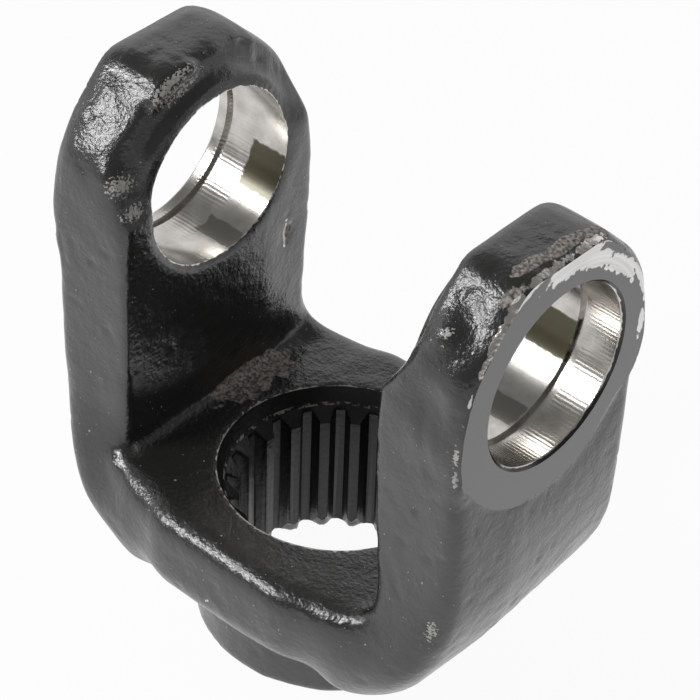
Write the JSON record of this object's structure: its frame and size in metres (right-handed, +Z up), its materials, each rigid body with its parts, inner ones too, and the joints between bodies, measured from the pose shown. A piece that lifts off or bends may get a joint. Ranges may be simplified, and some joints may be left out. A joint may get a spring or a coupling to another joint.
{
  "type": "forged yoke",
  "caption": "Forged joint yoke with two bored ears and a splined hub, painted black with bare machined bores.",
  "frame": {"origin": "centre of the hub's lower face, on the axis of the spline", "axes": "+Z up the spline axis from the hub to the ears, +X along the axis of the cross bores, Y across the ears"},
  "size_m": [0.1066, 0.0726, 0.1198],
  "materials": {
    "painted_forging": "gloss black enamel over a rough forging, bores bare"
  },
  "bodies": {
    "root": {"forged_yoke": "painted_forging"}
  },
  "joints": []
}
